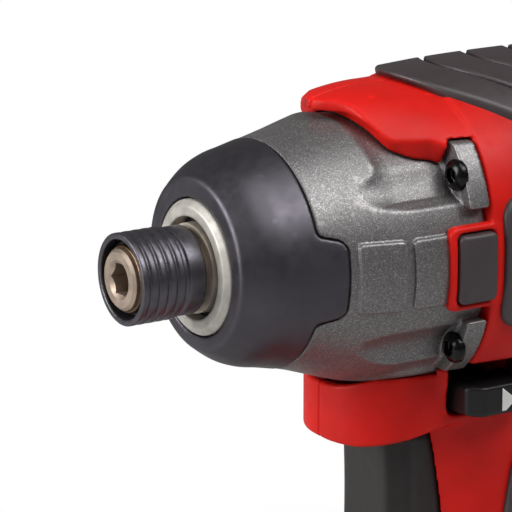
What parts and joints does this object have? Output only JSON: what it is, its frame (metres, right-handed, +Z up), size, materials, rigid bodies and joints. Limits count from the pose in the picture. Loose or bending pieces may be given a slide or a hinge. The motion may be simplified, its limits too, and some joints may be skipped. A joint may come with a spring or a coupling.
{
  "type": "cordless impact driver",
  "caption": "Cordless pistol-grip impact driver with quick-change hexagon chuck, hammer mechanism, planet gears, motor and slide-on battery.",
  "frame": {"origin": "middle of the battery's flat underside, on which the tool stands", "axes": "+X along the drive axis towards the chuck, +Y to the user's left, +Z up"},
  "size_m": [0.1609, 0.072, 0.2186],
  "materials": {
    "red_plastic": "satin moulded",
    "grey_cast_metal": "cast with a sparkle coat",
    "black_rubber": "matt moulded",
    "steel": "turned",
    "blued_steel": "black oxide",
    "spring_bronze": "plain",
    "black_steel": "black zinc",
    "black_plastic": "moulded",
    "grey_plastic": "moulded",
    "red_wire": "insulated wire",
    "cell_wrap": "shrink wrap",
    "green_board": "circuit board",
    "clear_lens": "frosted"
  },
  "bodies": {
    "housing": {"housing_left": "red_plastic", "housing_right": "red_plastic", "gear_case": "grey_cast_metal", "nose_boot": "black_rubber", "nose_ring": "steel", "front_bushing": "spring_bronze", "thrust_washer": "steel", "ring_gear": "steel", "gearbox_plate": "black_plastic", "carrier_bearing": "steel", "motor_can": "steel", "motor_magnets": "black_plastic", "motor_end_cap": "black_plastic", "brushes": "black_plastic", "case_screws": "black_steel", "housing_screws": "black_steel", "top_grip": "black_rubber", "side_pad_left": "black_rubber", "side_pad_right": "black_rubber", "motor_grip_left": "black_rubber", "motor_grip_right": "black_rubber", "handle_grip_left": "black_rubber", "handle_grip_right": "black_rubber", "trigger_switch": "black_plastic", "trigger_spring": "steel", "switch_leads": "red_wire", "led_lens": "clear_lens", "terminal_block": "black_plastic", "terminal_blades": "spring_bronze"},
    "carrier": {"planet_carrier": "steel", "planet_pins": "steel", "cam_balls": "steel", "hammer_spring": "steel"},
    "planet_1": {"planet_gear_1": "steel"},
    "planet_2": {"planet_gear_2": "steel"},
    "planet_3": {"planet_gear_3": "steel"},
    "hammer": {"hammer": "steel"},
    "anvil": {"anvil": "blued_steel", "bit_balls": "steel", "chuck_spring": "steel", "chuck_retainer": "spring_bronze", "collar_washer": "steel"},
    "sleeve": {"chuck_sleeve": "blued_steel"},
    "rotor": {"rotor_shaft": "steel", "rotor_core": "steel", "rotor_winding": "spring_bronze", "commutator": "spring_bronze", "cooling_fan": "black_plastic", "motor_pinion": "steel"},
    "trigger": {"trigger": "grey_plastic"},
    "selector": {"direction_selector": "black_plastic"},
    "battery": {"battery_case": "black_plastic", "battery_lid": "black_plastic", "battery_cells": "cell_wrap", "battery_board": "green_board", "battery_contacts": "spring_bronze", "battery_latch": "steel", "battery_screws": "black_steel"},
    "release_button": {"battery_button": "red_plastic"}
  },
  "joints": [
    {"name": "carrier_spin", "type": "hinge", "parent": "housing", "child": "carrier", "pos_m": [0, 0, 0.182], "axis": [1, 0, 0], "continuous": true},
    {"name": "rotor_spin", "type": "hinge", "parent": "housing", "child": "rotor", "pos_m": [0, 0, 0.182], "axis": [1, 0, 0], "continuous": true},
    {"name": "anvil_spin", "type": "hinge", "parent": "housing", "child": "anvil", "pos_m": [0, 0, 0.182], "axis": [1, 0, 0], "continuous": true},
    {"name": "planet_1_spin", "type": "hinge", "parent": "carrier", "child": "planet_1", "pos_m": [0.008, 0, 0.17], "axis": [1, 0, 0], "continuous": true},
    {"name": "planet_2_spin", "type": "hinge", "parent": "carrier", "child": "planet_2", "pos_m": [0.008, 0.01039, 0.188], "axis": [1, 0, 0], "continuous": true},
    {"name": "planet_3_spin", "type": "hinge", "parent": "carrier", "child": "planet_3", "pos_m": [0.008, -0.01039, 0.188], "axis": [1, 0, 0], "continuous": true},
    {"name": "hammer_slide", "type": "slide", "parent": "carrier", "child": "hammer", "axis": [-1, 0, 0], "range_m": [0, 0.008], "stiffness_N_per_m": 1500, "deforming": ["hammer_spring"]},
    {"name": "sleeve_pull", "type": "slide", "parent": "anvil", "child": "sleeve", "axis": [1, 0, 0], "range_m": [0, 0.0035], "stiffness_N_per_m": 400, "deforming": ["chuck_spring"]},
    {"name": "trigger_pull", "type": "slide", "parent": "housing", "child": "trigger", "axis": [-1, 0, 0], "range_m": [0, 0.006], "stiffness_N_per_m": 600, "deforming": ["trigger_spring"]},
    {"name": "selector_shift", "type": "slide", "parent": "housing", "child": "selector", "axis": [0, 1, 0], "range_m": [-0.003, 0.003]},
    {"name": "battery_slide", "type": "slide", "parent": "housing", "child": "battery", "axis": [1, 0, 0], "range_m": [0, 0.095], "deforming": ["battery_latch"]},
    {"name": "release_press", "type": "slide", "parent": "battery", "child": "release_button", "axis": [-1, 0, 0], "range_m": [0, 0.003], "stiffness_N_per_m": 800}
  ],
  "couplings": [
    {"joint": "rotor_spin", "follows": "carrier_spin", "ratio": 6.6667},
    {"joint": "anvil_spin", "follows": "carrier_spin", "ratio": 1},
    {"joint": "planet_1_spin", "follows": "carrier_spin", "ratio": -2.4286},
    {"joint": "planet_2_spin", "follows": "carrier_spin", "ratio": -2.4286},
    {"joint": "planet_3_spin", "follows": "carrier_spin", "ratio": -2.4286}
  ]
}
